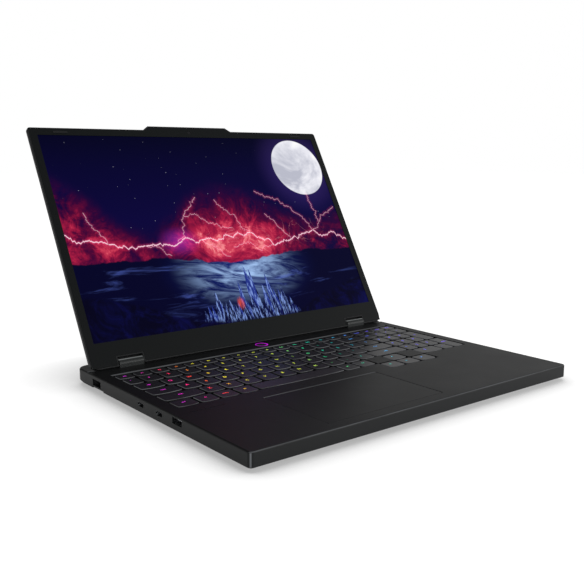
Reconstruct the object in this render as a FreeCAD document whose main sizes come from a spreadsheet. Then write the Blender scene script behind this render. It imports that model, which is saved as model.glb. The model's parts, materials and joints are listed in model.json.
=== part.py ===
import FreeCAD, Part
import math
import os
import re
import Sketcher

# Laptop computer, modelled open at its usual working angle.
# Millimetres.  X runs left to right, Y from the user to the back, Z up.
# The origin is on the table, under the middle of the open machine's bounding box.
# Sizes that start at the front edge of the case are added to front_y.
# The lid is drawn in its own frame: origin on the hinge axis, Z up the lid,
# -Y out of the screen.  One Placement then leans it back by lid_tilt.

DIMENSIONS = {
    # case
    "front_y": -176.2, "case_width": 344.9, "case_depth": 255.4, "wall_bottom": 4.0,
    "deck_top": 14.45, "deck_thickness": 1.4, "wall": 1.6, "front_radius": 3.5, "back_radius": 10.0,
    "cavity_front_cut": 4.0, "cavity_back_cut": 6.0, "deck_edge_radius": 1.3,
    "slope_run": 23.7, "slope_rise": 3.6,
    "groove_y": 89.8, "groove_width": 0.6, "groove_length": 30, "groove_depth": 0.25,
    # bottom cover
    "cover_bottom": 2.0, "cover_top": 3.4, "cover_chamfer": 9.0, "rim_width": 2.4, "rim_lip": 0.4,
    "slope_skin": 1.6,
    # air openings
    "vent_width": 2.4, "vent_pitch": 4.6, "vent_bottom": 8.6, "vent_height": 3.9, "vent_start": 54,
    "intake_length": 44, "intake_width": 2.2, "intake_y": 168, "grille_x": 158, "grille_length": 8,
    "grille_width": 1.6, "grille_pitch": 3.6, "grille_y": 20,
    # feet
    "foot_depth": 8, "foot_corner": 3.6, "foot_edge": 0.6, "foot_front_y": 17, "foot_back_y": 219,
    "foot_front_x": 128, "foot_front_width": 54, "foot_back_width": 236,
    # screws
    "boss_radius": 2.6, "thread_radius": 1.05, "screw_reach": 7.4, "seat_radius": 2.5, "seat_depth": 0.9,
    "clearance_radius": 1.2, "head_radius": 2.2, "head_height": 0.8, "head_inset": 0.1, "shank_radius": 1.0,
    "drive_radius": 0.7, "drive_depth": 0.5,
    # keyboard
    "key_pitch": 18.3, "key_width": 15.6, "key_depth": 15.6, "row_pitch": 18.5, "field_left": -160.0,
    "field_right": 101.0, "pad_left": 104.2, "pad_right": 160.0, "bottom_row_y": 104.4,
    "arrow_row_y": 87.3, "arrow_width": 17.3, "arrow_depth": 14.6, "function_row_y": 196.5,
    "function_depth": 11.0, "function_gap": 2.6, "pad_gap": 2.4, "key_top": 14.3, "key_height": 1.8,
    "key_corner": 1.7, "key_edge": 0.35, "key_bow": 1.5, "well_margin": 1.2, "frame_margin": 2.6,
    "well_floor": 10.9, "plate_thickness": 0.5, "well_back": 211.4, "well_edge": 0.4, "well_chamfer": 0.8,
    # touchpad
    "touchpad_left": -97.7, "touchpad_width": 118.5, "touchpad_front": 11.2, "touchpad_depth": 73.8,
    "touchpad_gap": 0.3, "touchpad_thickness": 1.3, "touchpad_top": 14.35, "touchpad_corner": 1.6,
    "touchpad_edge": 0.2, "touchpad_bevel": 0.5, "ledge_width": 3.0, "ledge_top": 12.55,
    "ledge_bottom": 11.75, "ledge_frame": 2.4,
    # power button
    "button_x": 2.7, "button_y": 222.3, "button_radius": 5.2, "button_height": 2.95, "button_edge": 0.4,
    "button_flange_bottom": 10.9, "button_flange": 0.7, "ring_inner": 5.5, "ring_outer": 6.3,
    "ring_bottom": 12.1, "ring_height": 2.4,
    # sockets: where each opening starts, and how large it is
    "usb_a_width": 12.8, "usb_a_height": 4.8, "usb_a_bottom": 7.9, "usb_a_side_y": 81, "usb_a_rear_x": 23.6,
    "usb_c_width": 9.2, "usb_c_height": 3.2, "usb_c_bottom": 7.9, "usb_c_front_y": 108, "usb_c_back_y": 135.6,
    "power_x": -40, "power_width": 11, "power_bottom": 8.3, "power_height": 4.4,
    "hdmi_x": -7.6, "hdmi_width": 15.2, "hdmi_bottom": 8.1, "hdmi_height": 4.6,
    "socket_lip": 0.3, "socket_skin": 0.3, "socket_depth": 16, "usb_c_depth": 6.6, "usb_c_corner": 1.6,
    "jack_y": 66, "jack_z": 9.3, "jack_bore": 1.8, "jack_collar": 2.85, "jack_hole": 2.9, "jack_half": 3.0,
    "jack_length": 12.5, "jack_bottom": 1.0,
    "switch_y": 111, "switch_slot": 8, "switch_slot_bottom": 8.6, "switch_slot_height": 2.2,
    "switch_knob": 4.4, "switch_knob_bottom": 8.9, "switch_knob_height": 1.6, "switch_recess": 0.3,
    "jaw_y": 203.3, "jaw_width": 18.9, "jaw_bottom": 4.3, "jaw_top": 5.6, "jaw_depth": 15.2, "jaw_gap": 0.35,
    "plug_y": 207.9, "plug_width": 14.4, "plug_bottom": 5.9, "plug_height": 5.3,
    # hinges
    "hinge_y": 231.2, "hinge_z": 17.5, "lid_tilt": 30.2, "hinge_inner_x": 121.2, "hinge_outer_x": 144.4,
    "hinge_gap": 0.5, "pin_radius": 1.5, "knuckle_bore": 1.55, "knuckle_radius": 2.5, "knuckle_inset": 1.3,
    "cap_inner": 2.6, "cap_outer": 3.5, "pin_inner_x": 114.0, "pin_outer_x": 151.0,
    "bracket_bottom": 10.6, "bracket_thickness": 1.5, "bracket_web": 1.2, "bracket_front": 13,
    "bracket_back": 14, "arm_front": -1.55, "arm_face": 1.1, "arm_back": 2.2, "arm_low": -1.95,
    "arm_eye_top": 2.6, "arm_top": 62, "trough_radius": 4.0, "trough_floor": 12.2, "trough_half": 4.6,
    # lid, in its own frame
    "lid_width": 341.4, "lid_bottom": -3.2, "lid_top": 231.2, "lid_front": -2.446, "lid_back": 3.554,
    "lid_wall": 1.2, "lid_low_corner": 8.0, "lid_high_corner": 3.0, "lid_back_round": 3.0,
    "lid_front_round": 0.9, "lid_back_chamfer": 1.1, "notch_top": 5.3,
    "notch_lip": 3.9, "bump_height": 3.9, "bump_foot": 52.0, "bump_head": 46.6, "bezel_thickness": 0.8,
    "bezel_gap": 0.2, "screen_width": 325.2, "screen_height": 203.25, "screen_bottom": 20.0,
    "panel_overlap": 1.6, "panel_front": -1.6, "panel_back": 0.9, "screen_front": -2.05, "screen_gap": 0.1,
    "camera_height": 228.6, "camera_hole": 1.9, "lens_radius": 1.7, "lens_length": 0.7,
    "camera_board_half": 34, "camera_board_low": 226, "camera_board_high": 231.6, "camera_board_back": 1.2,
    "bumper_x": 140, "bumper_z": 225.4, "bumper_length": 14, "bumper_width": 2.0, "bumper_height": 0.35,
}

doc = FreeCAD.newDocument("laptop_computer")
sheet = doc.addObject("Spreadsheet::Sheet", "dims")
for row, (name, number) in enumerate(DIMENSIONS.items(), start=1):
    sheet.set(f"A{row}", name)
    sheet.set(f"B{row}", str(number))
    sheet.setAlias(f"B{row}", name)
doc.recompute()

NODES = []
SIDES = {"left": -1, "right": 1}


def formula(text):
    """Turn each word that names a dimension into a reference to the sheet."""
    def reference(word):
        return "dims." + word.group() if word.group() in DIMENSIONS else word.group()
    return re.sub(r"[a-z][a-z_]*", reference, str(text))


def number_of(text):
    """The value of a formula, as a plain number."""
    return float(sheet.evalExpression(formula(text)))


def from_front(distance):
    """A Y position measured back from the front edge of the case."""
    return f"(front_y + {distance})"


# ---------------------------------------------------------------- sketches and features

def rectangle(x_low, x_high, y_low, y_high):
    return [(x_low, y_low), (x_high, y_low), (x_high, y_high), (x_low, y_high)]


def box_from(x_low, width, y_low, depth):
    return rectangle(x_low, f"{x_low} + {width}", y_low, f"{y_low} + {depth}")


def bind(sketch, kind, geometry, point, text):
    """Fix one coordinate of a sketch point to a formula."""
    index = sketch.addConstraint(Sketcher.Constraint(kind, -1, 1, geometry, point, number_of(text)))
    sketch.setExpression(f"Constraints[{index}]", formula(text))


def draw(sketch, loop):
    """Draw a polygon (a list of corners) or a circle (x, y, radius), bound to the sheet."""
    if isinstance(loop, tuple):
        x, y, radius = loop
        centre = FreeCAD.Vector(number_of(x), number_of(y), 0)
        circle = sketch.addGeometry(Part.Circle(centre, FreeCAD.Vector(0, 0, 1), number_of(radius)))
        bind(sketch, "DistanceX", circle, 3, x)
        bind(sketch, "DistanceY", circle, 3, y)
        index = sketch.addConstraint(Sketcher.Constraint("Radius", circle, number_of(radius)))
        sketch.setExpression(f"Constraints[{index}]", formula(radius))
        return
    corners = [FreeCAD.Vector(number_of(x), number_of(y), 0) for x, y in loop]
    lines = [sketch.addGeometry(Part.LineSegment(start, end))
             for start, end in zip(corners, corners[1:] + corners[:1])]
    for line, following in zip(lines, lines[1:] + lines[:1]):
        sketch.addConstraint(Sketcher.Constraint("Coincident", line, 2, following, 1))
    for line, (x, y) in zip(lines, loop):
        bind(sketch, "DistanceX", line, 1, x)
        bind(sketch, "DistanceY", line, 1, y)


def new_body(label):
    body = doc.addObject("PartDesign::Body", label)
    body.Label = label
    return body


def feature(body, kind, role, level, loops, length):
    """A Pad or Pocket that fills the sketch from level to level + length along the plane's normal."""
    plane = next(item for item in body.Origin.OriginFeatures if item.Role == role)
    sketch = body.newObject("Sketcher::SketchObject", body.Name + "_sketch")
    sketch.AttachmentSupport = (plane, [""])
    sketch.MapMode = "FlatFace"
    sketch.setExpression("AttachmentOffset.Base.z", formula(level))
    for loop in loops:
        draw(sketch, loop)
    made = body.newObject("PartDesign::" + kind, body.Name + "_" + kind.lower())
    made.Profile = sketch
    made.setExpression("Length", formula(length))
    made.Reversed = kind == "Pocket"
    doc.recompute()
    return made


def pad(body, role, level, loops, length):
    return feature(body, "Pad", role, level, loops, length)


def pocket(body, role, level, loops, length):
    before = body.Tip.Shape.Volume
    made = feature(body, "Pocket", role, level, loops, length)
    if made.Shape.Volume >= before - 1e-6:
        raise RuntimeError(f"{body.Label}: a pocket cuts nothing")
    return made


def oval_pocket(body, role, level, low_u, high_u, low_v, high_v, length):
    """A hole with straight long sides and half-round ends."""
    radius = f"(({high_v} - ({low_v})) / 2)"
    middle = f"(({high_v} + {low_v}) / 2)"
    near, far = f"({low_u} + {radius})", f"({high_u} - {radius})"
    pocket(body, role, level, [rectangle(near, far, low_v, high_v)], length)
    pocket(body, role, level, [(near, middle, radius), (far, middle, radius)], length)


def soften(body, kind, size, wanted):
    """Fillet or chamfer the edges that pass the test."""
    base = body.Tip
    names = [f"Edge{index}" for index, edge in enumerate(base.Shape.Edges, start=1) if wanted(edge.BoundBox)]
    made = body.newObject("PartDesign::" + kind, body.Name + "_" + kind.lower())
    made.Base = (base, names)
    made.setExpression("Radius" if kind == "Fillet" else "Size", formula(size))
    doc.recompute()
    return made


def repeat(body, original, role, spacing, count):
    """Copy a feature in a row."""
    axis = next(item for item in body.Origin.OriginFeatures if item.Role == role)
    pattern = body.newObject("PartDesign::LinearPattern", body.Name + "_pattern")
    pattern.Originals = [original]
    pattern.Direction = (axis, [""])
    pattern.setExpression("Length", formula(f"({spacing}) * {count - 1}"))
    pattern.Occurrences = count
    body.Tip = pattern
    doc.recompute()
    return pattern


def upright(box, z_low):
    """True for a vertical corner edge that starts at z_low."""
    return box.XLength < 1e-4 and box.YLength < 1e-4 and box.ZLength > 0.3 and abs(box.ZMin - z_low) < 1e-3


def level_with(box, z):
    """True for an edge that lies flat at height z."""
    return box.ZLength < 1e-4 and abs(box.ZMin - z) < 1e-3


def node(made, label):
    """Name a finished sub-part, which is written to a file of that name."""
    made.Label = label
    NODES.append(made)
    return made


def group(label, members):
    """Several separate solids of one sub-part."""
    made = doc.addObject("Part::Compound", label)
    made.Links = members
    return node(made, label)


def lean(made):
    """Stand a lid sub-part on the hinge axis and lean it back."""
    made.Placement = FreeCAD.Placement(
        FreeCAD.Vector(0, 0, 0), FreeCAD.Rotation(FreeCAD.Vector(-1, 0, 0), DIMENSIONS["lid_tilt"]))
    made.setExpression("Placement.Base.y", formula(from_front("hinge_y")))
    made.setExpression("Placement.Base.z", formula("hinge_z"))
    made.setExpression("Placement.Rotation.Angle", formula("lid_tilt"))
    return made


# ---------------------------------------------------------------- key layout

def across(first, pitches, pitch="key_pitch"):
    """The left edge of a key some pitches to the right of another."""
    return f"({first} + {pitches} * {pitch})"


def row_of(start, count, width="key_width", pitch="key_pitch"):
    return [(across(start, index, pitch), width) for index in range(count)]


PAD_PITCH = "((pad_right - pad_left + pad_gap) / 4)"
PAD_WIDTH = f"({PAD_PITCH} - pad_gap)"
FUNCTION_PITCH = "((field_right - field_left + function_gap) / 16)"
FUNCTION_WIDTH = f"({FUNCTION_PITCH} - function_gap)"


def row_y(rows_up):
    return from_front(f"bottom_row_y + {rows_up} * row_pitch")


def pad_keys(columns, rows_up):
    return [(across("pad_left", column, PAD_PITCH), PAD_WIDTH, row_y(row), "key_depth")
            for row in rows_up for column in columns]


def in_row(keys, rows_up):
    return [(left, width, row_y(rows_up), "key_depth") for left, width in keys]


def wide(left, right, rows_up):
    return [(f"({left})", f"({right} - ({left}))", row_y(rows_up), "key_depth")]


TALL_DEPTH = "(key_depth + row_pitch)"
FUNCTION_Y = from_front("function_row_y")
ARROW_Y = from_front("arrow_row_y")
KEYS = {
    "keys_function_row": [(left, FUNCTION_WIDTH, FUNCTION_Y, "function_depth")
                          for left, _ in row_of("field_left", 16, FUNCTION_WIDTH, FUNCTION_PITCH)],
    "keys_number_row": wide("field_left", "field_left + 12.3", 4)
                       + in_row(row_of("(field_left + 15)", 12), 4),
    "key_backspace": wide("field_left + 234.6", "field_right", 4),
    "key_tab": wide("field_left", "field_left + 21.5", 3),
    "keys_upper_row": in_row(row_of("(field_left + 24.2)", 12), 3)
                      + wide("field_left + 243.8", "field_right", 3),
    "key_caps_lock": wide("field_left", "field_left + 25.9", 2),
    "keys_home_row": in_row(row_of("(field_left + 28.6)", 11), 2),
    "key_enter": wide("field_left + 229.9", "field_right", 2),
    "key_shift_left": wide("field_left", "field_left + 35.4", 1),
    "keys_lower_row": in_row(row_of("(field_left + 38.1)", 10), 1),
    "key_shift_right": wide("field_left + 221.1", "field_right", 1),
    "keys_bottom_row": wide("field_left", "field_left + 18", 0)
                       + in_row(row_of("(field_left + 20.7)", 3), 0)
                       + in_row(row_of("(field_left + 167.2)", 2), 0),
    "key_space": wide("field_left + 75.4", "field_left + 164.5", 0),
    "key_arrow_up": [("(field_left + 223.3)", "arrow_width", row_y(0), "(key_depth - 0.6)")],
    "key_arrow_left": [("(field_left + 203.3)", "arrow_width", ARROW_Y, "arrow_depth")],
    "key_arrow_down": [("(field_left + 223.3)", "arrow_width", ARROW_Y, "arrow_depth")],
    "key_arrow_right": [("(field_left + 243.4)", "(arrow_width + 0.3)", ARROW_Y, "arrow_depth")],
    "keys_keypad_top": [(across("pad_left", column, PAD_PITCH), PAD_WIDTH, FUNCTION_Y, "function_depth")
                        for column in range(4)] + pad_keys(range(4), [4]),
    "keys_keypad_digits": pad_keys(range(3), [1, 2, 3]) + pad_keys([2], [0]),
    "key_keypad_plus": [(across("pad_left", 3, PAD_PITCH), PAD_WIDTH, row_y(2), TALL_DEPTH)],
    "key_keypad_enter": [(across("pad_left", 3, PAD_PITCH), PAD_WIDTH, row_y(0), TALL_DEPTH)],
    "key_keypad_zero": [("pad_left", f"({PAD_PITCH} + {PAD_WIDTH})", row_y(0), "key_depth")],
}


def keycap(name, left, width, front, depth):
    """One keycap: straight back and sides, a front edge that bows out, softened edges."""
    bow = f"min(key_bow; {width} / 12)"
    sketch = doc.addObject("Sketcher::SketchObject", name + "_sketch")
    wide_by, deep_by, bow_by = number_of(width), number_of(depth), number_of(bow)
    radius = (wide_by ** 2 / 4 + bow_by ** 2) / (2 * bow_by)
    corners = [FreeCAD.Vector(0, bow_by, 0), FreeCAD.Vector(0, deep_by, 0),
               FreeCAD.Vector(wide_by, deep_by, 0), FreeCAD.Vector(wide_by, bow_by, 0)]
    for start, end in zip(corners, corners[1:]):
        sketch.addGeometry(Part.LineSegment(start, end))
    centre = FreeCAD.Vector(wide_by / 2, radius, 0)
    half_angle = math.asin(wide_by / 2 / radius)
    sketch.addGeometry(Part.ArcOfCircle(Part.Circle(centre, FreeCAD.Vector(0, 0, 1), radius),
                                        1.5 * math.pi - half_angle, 1.5 * math.pi + half_angle))
    for first, first_end, second, second_end in ((0, 2, 1, 1), (1, 2, 2, 1), (2, 2, 3, 2), (3, 1, 0, 1)):
        sketch.addConstraint(Sketcher.Constraint("Coincident", first, first_end, second, second_end))
    bind(sketch, "DistanceX", 0, 1, "0")
    bind(sketch, "DistanceY", 0, 1, bow)
    bind(sketch, "DistanceX", 0, 2, "0")
    bind(sketch, "DistanceY", 0, 2, depth)
    bind(sketch, "DistanceX", 2, 1, width)
    bind(sketch, "DistanceY", 2, 1, depth)
    bind(sketch, "DistanceX", 2, 2, width)
    bind(sketch, "DistanceY", 2, 2, bow)
    bend = f"({width} * {width} / 4 + {bow} * {bow}) / (2 * {bow})"
    index = sketch.addConstraint(Sketcher.Constraint("Radius", 3, radius))
    sketch.setExpression(f"Constraints[{index}]", formula(bend))
    sketch.setExpression("Placement.Base.x", formula(left))
    sketch.setExpression("Placement.Base.y", formula(front))
    sketch.setExpression("Placement.Base.z", formula("key_top - key_height"))
    blank = doc.addObject("Part::Extrusion", name + "_blank")
    blank.Base = sketch
    blank.DirMode = "Normal"
    blank.setExpression("LengthFwd", formula("key_height"))
    blank.Solid = True
    doc.recompute()
    cap = doc.addObject("Part::Fillet", name)
    cap.Base = blank
    top = DIMENSIONS["key_top"]
    corner, edge_radius = DIMENSIONS["key_corner"], DIMENSIONS["key_edge"]
    rounds = []
    for position, edge in enumerate(blank.Shape.Edges, start=1):
        if level_with(edge.BoundBox, top):
            rounds.append((position, edge_radius, edge_radius))
        elif edge.BoundBox.ZLength > 1:
            rounds.append((position, corner, corner))
    cap.Edges = rounds
    return cap


def keys():
    for label, caps in KEYS.items():
        made = [keycap(f"{label}_cap_{index}", *cap) for index, cap in enumerate(caps, start=1)]
        group(label, made)


# ---------------------------------------------------------------- case

def well_outline(margin):
    """The stepped outline of the key field, with room round it."""
    front, middle = from_front(f"bottom_row_y - {margin}"), from_front(f"arrow_row_y - {margin}")
    shoulder = from_front(f"bottom_row_y + row_pitch - {margin}")
    back = from_front("well_back")
    left, right = f"field_left - {margin}", f"pad_right + {margin}"
    arrow_left, up_left = f"field_left + 203.3 - {margin}", f"field_left + 223.3 - {margin}"
    up_right, arrow_right = f"field_left + 240.6 + {margin}", f"field_right + {margin}"
    arrow_back = from_front("arrow_row_y + arrow_depth") + f" + {margin}"
    special_right = f"field_left + 201.1 + {margin}"
    pad_front_left = f"pad_left - {margin}"
    return [(left, front), (special_right, front), (special_right, shoulder), (up_left, shoulder),
            (up_left, arrow_back), (arrow_left, arrow_back), (arrow_left, middle), (arrow_right, middle),
            (arrow_right, arrow_back), (up_right, arrow_back), (up_right, shoulder),
            (pad_front_left, shoulder), (pad_front_left, front), (right, front), (right, back), (left, back)]


def plate_outline(margin):
    """The simpler outline of the plate under the keys."""
    front, middle = from_front(f"bottom_row_y - {margin}"), from_front(f"arrow_row_y - {margin}")
    back = from_front("well_back + 1.4")
    left, right = f"field_left - {margin}", f"pad_right + {margin}"
    arrow_left, arrow_right = f"field_left + 203.3 - {margin}", f"field_right + {margin}"
    return [(left, front), (arrow_left, front), (arrow_left, middle), (arrow_right, middle),
            (arrow_right, front), (right, front), (right, back), (left, back)]


VENTS = 14  # rear slots on each side
FAN_X, FAN_Y = 84, 190.5  # middle of each fan, from the centre line and from the front edge
SCREWS = [(sign * x, y) for sign in (-1, 1) for x, y in ((159, 12), (60, 12), (160.6, 96.9), (150.5, 223))]


def opening(name, start):
    """An opening of a named socket: along the wall from start, and its height."""
    return (start, f"({start} + {name}_width)", f"{name}_bottom", f"({name}_bottom + {name}_height)")


USB_A_SIDE = opening("usb_a", from_front("usb_a_side_y"))
USB_A_REAR = opening("usb_a", "usb_a_rear_x")
USB_C_HOLES = {
    "front": opening("usb_c", from_front("usb_c_front_y")),
    "back": opening("usb_c", from_front("usb_c_back_y")),
}
PLUG_HOLE = opening("plug", from_front("plug_y"))
JAW_HOLE = (from_front("jaw_y - jaw_gap"), from_front("jaw_y + jaw_width + jaw_gap"), "wall_bottom - 1",
            "(jaw_top + jaw_gap)")
SWITCH_HOLE = (from_front("switch_y"), from_front("switch_y + switch_slot"), "switch_slot_bottom",
               "(switch_slot_bottom + switch_slot_height)")
POWER_HOLE = opening("power", "power_x")
HDMI_HOLE = opening("hdmi", "hdmi_x")


def case_slab(body, low, height):
    outline = box_from("-case_width / 2", "case_width", from_front("0"), "case_depth")
    pad(body, "XY_Plane", low, [outline], height)
    front = DIMENSIONS["front_y"]
    for radius, y in (("front_radius", front), ("back_radius", front + DIMENSIONS["case_depth"])):
        soften(body, "Fillet", radius, lambda box, y=y: box.ZLength > 0.3 and abs(box.YMin - y) < 1e-3
               and box.YLength < 1e-3 and box.XLength < 1e-3)


def rear_slope(body, drop):
    """Trim the back of the underside to the slope that rises towards the rear edge."""
    start = from_front("case_depth - slope_run")
    end = from_front("case_depth + 5")
    low, rise = f"(wall_bottom - {drop})", "(slope_rise * (slope_run + 5) / slope_run)"
    triangle = [(start, f"{low} - 3"), (end, f"{low} - 3"), (end, f"{low} + {rise}"), (start, low)]
    pocket(body, "YZ_Plane", "-case_width", [triangle], "2 * case_width")


def case_holes(body):
    half, through = "case_width / 2", "wall + 1.5"
    left, right = f"-{half} - 1", f"{half} - wall - 0.5"
    for hole in (USB_A_SIDE, PLUG_HOLE, JAW_HOLE):
        pocket(body, "YZ_Plane", left, [rectangle(*hole)], through)
    for hole in USB_C_HOLES.values():
        oval_pocket(body, "YZ_Plane", left, *hole, through)
    for hole in (USB_A_SIDE, SWITCH_HOLE):
        pocket(body, "YZ_Plane", right, [rectangle(*hole)], through)
    pocket(body, "YZ_Plane", right, [(from_front("jack_y"), "jack_z", "jack_hole")], through)
    rear = "-(" + from_front("case_depth + 1") + ")"
    for hole in (POWER_HOLE, HDMI_HOLE, USB_A_REAR):
        pocket(body, "XZ_Plane", rear, [rectangle(*hole)], through)
    for first in ("vent_start", f"-(vent_start + {VENTS - 1} * vent_pitch + vent_width)"):
        vent = box_from(first, "vent_width", "vent_bottom", "vent_height")
        slot = pocket(body, "XZ_Plane", rear, [vent], through)
        repeat(body, slot, "X_Axis", "vent_pitch", VENTS)


def cavity_outline(margin):
    """The room inside the walls: a rectangle with its corners cut to suit the rounded case."""
    side, front = f"(case_width / 2 - {margin})", from_front(margin)
    back = from_front(f"case_depth - {margin}")
    right = [(f"({side} - cavity_front_cut)", front), (side, f"{front} + cavity_front_cut"),
             (side, f"{back} - cavity_back_cut"), (f"({side} - cavity_back_cut)", back)]
    return right + [(f"-{x}", y) for x, y in reversed(right)]


def back_bevel(body, back, size, left, length):
    """Slope the back edge of an opening in the deck."""
    bevel = [(back, f"deck_top - {size}"), (f"{back} + {size}", "deck_top"),
             (f"{back} + {size}", "deck_top + 1"), (f"{back} - 1", "deck_top + 1"),
             (f"{back} - 1", f"deck_top - {size}")]
    pocket(body, "YZ_Plane", left, [bevel], length)


def screw_circles(radius):
    return [(str(x), from_front(y), radius) for x, y in SCREWS]


def base_top_case():
    """The upper shell: palm rest and deck, side walls, keyboard well, touchpad ledge, hinge trough."""
    body = new_body("base_top_case")
    case_slab(body, "wall_bottom", "deck_top - wall_bottom")
    soften(body, "Fillet", "deck_edge_radius", lambda box: level_with(box, DIMENSIONS["deck_top"]))
    under_deck, above = "deck_top - deck_thickness", "deck_top"
    pocket(body, "XY_Plane", "wall_bottom - 1", [cavity_outline("wall")], f"{under_deck} - wall_bottom + 1")
    pad(body, "XY_Plane", "well_floor", [plate_outline("frame_margin")], f"{under_deck} - well_floor")
    pad(body, "XY_Plane", "ledge_bottom", [touchpad_outline("touchpad_gap + ledge_frame")],
        f"{under_deck} - ledge_bottom")
    trough = rectangle("-case_width / 2 + wall", "case_width / 2 - wall", from_front("hinge_y - trough_half"),
                       from_front("hinge_y + trough_half"))
    pad(body, "XY_Plane", "trough_floor", [trough], f"{under_deck} - trough_floor")
    boss_bottom = "(wall_bottom - rim_lip - 0.2)"
    pad(body, "XY_Plane", boss_bottom, screw_circles("boss_radius"), f"{under_deck} - {boss_bottom}")
    pocket(body, "XY_Plane", boss_bottom, screw_circles("thread_radius"), "screw_reach")
    pocket(body, "XY_Plane", "well_floor - 1", [well_outline("well_margin")], above)
    pocket(body, "XY_Plane", "deck_top - well_edge", [well_outline("well_margin + well_edge")], above)
    back_bevel(body, from_front("well_back"), "well_chamfer", "field_left - well_margin",
               "pad_right - field_left + 2 * well_margin")
    pocket(body, "XY_Plane", "ledge_top", [touchpad_outline("touchpad_gap")], above)
    back_bevel(body, from_front("touchpad_front + touchpad_depth + touchpad_gap"), "touchpad_bevel",
               "touchpad_left - touchpad_gap", "touchpad_width + 2 * touchpad_gap")
    pocket(body, "XY_Plane", "ledge_bottom - 1", [touchpad_outline("-ledge_width")], above)
    pocket(body, "XY_Plane", "wall_bottom", [("button_x", from_front("button_y"), "ring_outer")], above)
    axis = (from_front("hinge_y"), "hinge_z", "trough_radius")
    for low, high in (("-case_width", "-hinge_outer_x - hinge_gap"),
                      ("-hinge_inner_x + hinge_gap", "hinge_inner_x - hinge_gap"),
                      ("hinge_outer_x + hinge_gap", "case_width")):
        pocket(body, "YZ_Plane", low, [axis], f"{high} - ({low})")
    for sign in SIDES.values():
        low, length = hinge_x(sign, "(hinge_inner_x + 1)", "(hinge_outer_x - 1)")
        slot = box_from(low, length, from_front("hinge_y - cap_inner"), "2 * cap_inner")
        pocket(body, "XY_Plane", "wall_bottom", [slot], above)
    groove = box_from("field_left", "groove_length", from_front("groove_y"), "groove_width")
    pocket(body, "XY_Plane", "deck_top - groove_depth", [groove], above)
    rear_slope(body, "0")
    case_holes(body)
    return node(body, "base_top_case")


def base_bottom_cover():
    """The lower shell: a shallow tray with a chamfered rim, air slots, screw seats and the jaw notch."""
    body = new_body("base_bottom_cover")
    case_slab(body, "cover_bottom", "wall_bottom + slope_rise - cover_bottom")
    half, run, below = "case_width / 2", "cover_chamfer", "(cover_bottom - 1)"
    rim_low = "(wall_bottom - rim_lip)"
    front = "-(" + from_front("case_depth + 5") + ")"
    for sign in SIDES.values():
        toe = [(f"{sign} * ({half} + 1)", below), (f"{sign} * ({half} - {run})", below),
               (f"{sign} * ({half} - {run})", "cover_bottom"), (f"{sign} * {half}", rim_low),
               (f"{sign} * ({half} + 1)", rim_low)]
        pocket(body, "XZ_Plane", front, [toe], "case_depth + 10")
    nose = [(from_front("-1"), below), (from_front(run), below), (from_front(run), "cover_bottom"),
            (from_front("0"), rim_low), (from_front("-1"), rim_low)]
    pocket(body, "YZ_Plane", "-case_width", [nose], "2 * case_width")
    slope_start, back = from_front("case_depth - slope_run"), from_front("case_depth + 1")
    slope_end = "(wall_bottom + slope_rise * (slope_run + 1) / slope_run)"
    above = [(from_front("-1"), "wall_bottom"), (slope_start, "wall_bottom"), (back, slope_end),
             (back, "deck_top"), (from_front("-1"), "deck_top")]
    pocket(body, "YZ_Plane", "-case_width", [above], "2 * case_width")
    rear_slope(body, "slope_skin")
    tray_back = from_front("case_depth - slope_run - 1")
    tray_side = f"({half} - rim_width)"
    tray = [(f"-{tray_side}", from_front("rim_width + cavity_front_cut")),
            (f"-({tray_side} - cavity_front_cut)", from_front("rim_width")),
            (f"({tray_side} - cavity_front_cut)", from_front("rim_width")),
            (tray_side, from_front("rim_width + cavity_front_cut")), (tray_side, tray_back),
            (f"-{tray_side}", tray_back)]
    pocket(body, "XY_Plane", "cover_top", [tray], "wall_bottom")
    jaw_notch = rectangle(f"-{half} - 1", f"-{half} + jaw_depth + 1.8", from_front("jaw_y - 0.5"),
                          from_front("jaw_y + jaw_width + 0.5"))
    pocket(body, "XY_Plane", "0", [jaw_notch], "jaw_top + 2")
    pocket(body, "XY_Plane", below, screw_circles("seat_radius"), "1 + seat_depth")
    pocket(body, "XY_Plane", below, screw_circles("clearance_radius"), "wall_bottom + 1")
    for sign in SIDES.values():
        intake = box_from(f"{sign * FAN_X} - intake_length / 2", "intake_length", from_front("intake_y"),
                          "intake_width")
        slot = pocket(body, "XY_Plane", "0", [intake], "wall_bottom + 4")
        repeat(body, slot, "Y_Axis", "vent_pitch", 8)
        grille = box_from(f"{sign} * grille_x - grille_length / 2", "grille_length", from_front("grille_y"),
                          "grille_width")
        slot = pocket(body, "XY_Plane", "0", [grille], "wall_bottom + 4")
        repeat(body, slot, "Y_Axis", "grille_pitch", 9)
    return node(body, "base_bottom_cover")


def rubber_feet():
    members = []
    for name, centre, width, y in (("left", "-foot_front_x", "foot_front_width", "foot_front_y"),
                                   ("right", "foot_front_x", "foot_front_width", "foot_front_y"),
                                   ("back", "0", "foot_back_width", "foot_back_y")):
        foot = new_body("foot_" + name)
        front = from_front(f"{y} - foot_depth / 2")
        outline = box_from(f"{centre} - {width} / 2", width, front, "foot_depth")
        pad(foot, "XY_Plane", "0", [outline], "cover_bottom")
        soften(foot, "Fillet", "foot_corner", lambda box: upright(box, 0))
        soften(foot, "Fillet", "foot_edge", lambda box: level_with(box, 0))
        members.append(foot)
    return group("rubber_feet", members)


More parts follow.
